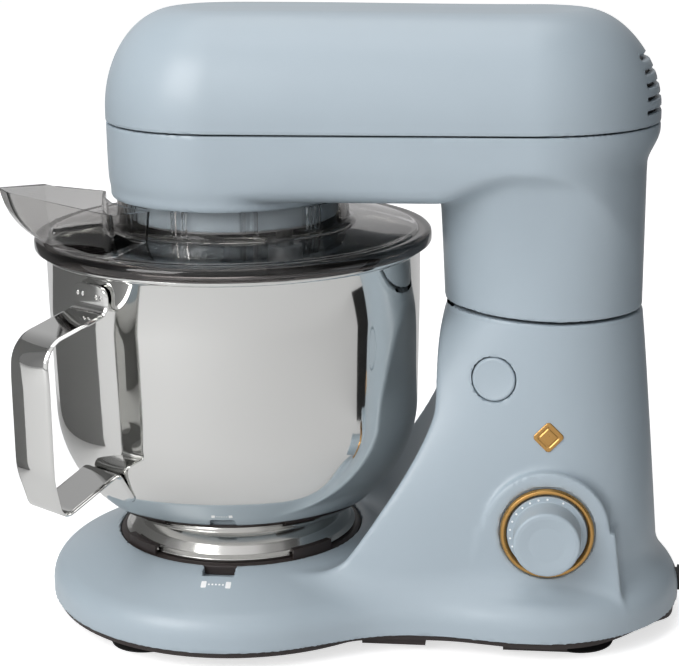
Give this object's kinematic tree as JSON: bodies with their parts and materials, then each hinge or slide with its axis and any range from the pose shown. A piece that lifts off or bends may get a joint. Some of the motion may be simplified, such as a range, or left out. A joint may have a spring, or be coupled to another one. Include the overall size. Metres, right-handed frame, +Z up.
{
  "type": "stand mixer",
  "caption": "Tilt-head stand mixer with a steel bowl and strip handle, smoky splash shield with pouring chute, speed dial and planetary beater drive.",
  "frame": {"origin": "on the counter in the body's symmetry plane, between the feet and under the middle of the head", "axes": "+Z up, -X towards the bowl end, -Y towards the side with the speed dial and release button"},
  "size_m": [0.383, 0.2499, 0.357],
  "materials": {
    "painted_body": "satin blue-grey enamel",
    "polished_steel": "polished stainless steel",
    "gold_trim": "satin gold",
    "smoky_plastic": "clear smoke-tinted plastic",
    "dark_plastic": "fine grained dark plastic",
    "black_plastic": "moulded black plastic",
    "black_rubber": "matt black rubber",
    "machined_steel": "machined and zinc plated",
    "gear_steel": "hobbed steel, oiled",
    "cast_aluminium": "die cast, bead blasted",
    "circuit_board": "green solder mask",
    "bush_bronze": "sintered bronze"
  },
  "bodies": {
    "base": {"base_shell": "painted_body", "base_plate": "dark_plastic", "suction_feet": "black_rubber", "base_screws": "machined_steel", "bowl_seat_ring": "dark_plastic", "dial_bezel": "gold_trim", "speed_switch": "black_plastic", "control_board": "circuit_board", "badge": "gold_trim", "cord_gland": "black_plastic", "latch_guide": "black_plastic", "release_spring": "machined_steel", "hinge_bracket": "machined_steel", "bracket_screws": "machined_steel", "hinge_pin": "machined_steel"},
    "release": {"release_button": "painted_body", "latch_slide": "machined_steel"},
    "dial": {"dial_knob": "painted_body", "dial_shaft": "machined_steel"},
    "bowl": {"bowl": "polished_steel", "bowl_foot_ring": "polished_steel", "bowl_handle": "polished_steel"},
    "head": {"head_top_cover": "painted_body", "head_lower_housing": "painted_body", "head_frame": "cast_aluminium", "vent_liner": "black_plastic", "housing_screws": "machined_steel", "latch_striker": "machined_steel", "collar": "painted_body", "splash_shield": "smoky_plastic", "pouring_chute": "smoky_plastic", "motor_can": "machined_steel", "motor_stator": "machined_steel", "motor_mounts": "machined_steel", "drive_belt": "black_rubber", "ring_gear": "gear_steel", "shaft_bearings": "machined_steel"},
    "motor": {"motor_rotor": "machined_steel", "cooling_fan": "black_plastic", "drive_pulley": "black_plastic"},
    "planetary": {"driven_pulley": "black_plastic", "central_shaft": "machined_steel", "planetary_carrier": "cast_aluminium", "tool_bush": "bush_bronze"},
    "tool": {"planet_pinion": "gear_steel", "tool_shaft": "machined_steel", "tool_cross_pin": "machined_steel", "flat_beater": "cast_aluminium"}
  },
  "joints": [
    {"name": "head_tilt", "type": "hinge", "parent": "base", "child": "head", "pos_m": [0.164, 0, 0.225], "axis": [0, 1, 0], "range_deg": [0, 35]},
    {"name": "speed_dial", "type": "hinge", "parent": "base", "child": "dial", "pos_m": [0.1234, -0.064, 0.0703], "axis": [0, 1, 0], "range_deg": [-25, 168]},
    {"name": "release_button", "type": "slide", "parent": "base", "child": "release", "axis": [0, 1, 0], "range_m": [0, 0.004], "stiffness_N_per_m": 400, "springref_m": -0.002, "deforming": ["release_spring"]},
    {"name": "bowl_twist", "type": "hinge", "parent": "base", "child": "bowl", "pos_m": [-0.061, 0, 0.06], "axis": [0, 0, 1], "range_deg": [0, 30]},
    {"name": "planetary_orbit", "type": "hinge", "parent": "head", "child": "planetary", "pos_m": [-0.061, 0, 0.245], "axis": [0, 0, 1], "continuous": true},
    {"name": "tool_spin", "type": "hinge", "parent": "planetary", "child": "tool", "pos_m": [-0.031, 0, 0.245], "axis": [0, 0, 1], "continuous": true},
    {"name": "motor_spin", "type": "hinge", "parent": "head", "child": "motor", "pos_m": [0.092, 0, 0.3], "axis": [0, 0, 1], "continuous": true}
  ],
  "couplings": [
    {"joint": "tool_spin", "follows": "planetary_orbit", "ratio": -3},
    {"joint": "motor_spin", "follows": "planetary_orbit", "ratio": 4.5}
  ]
}
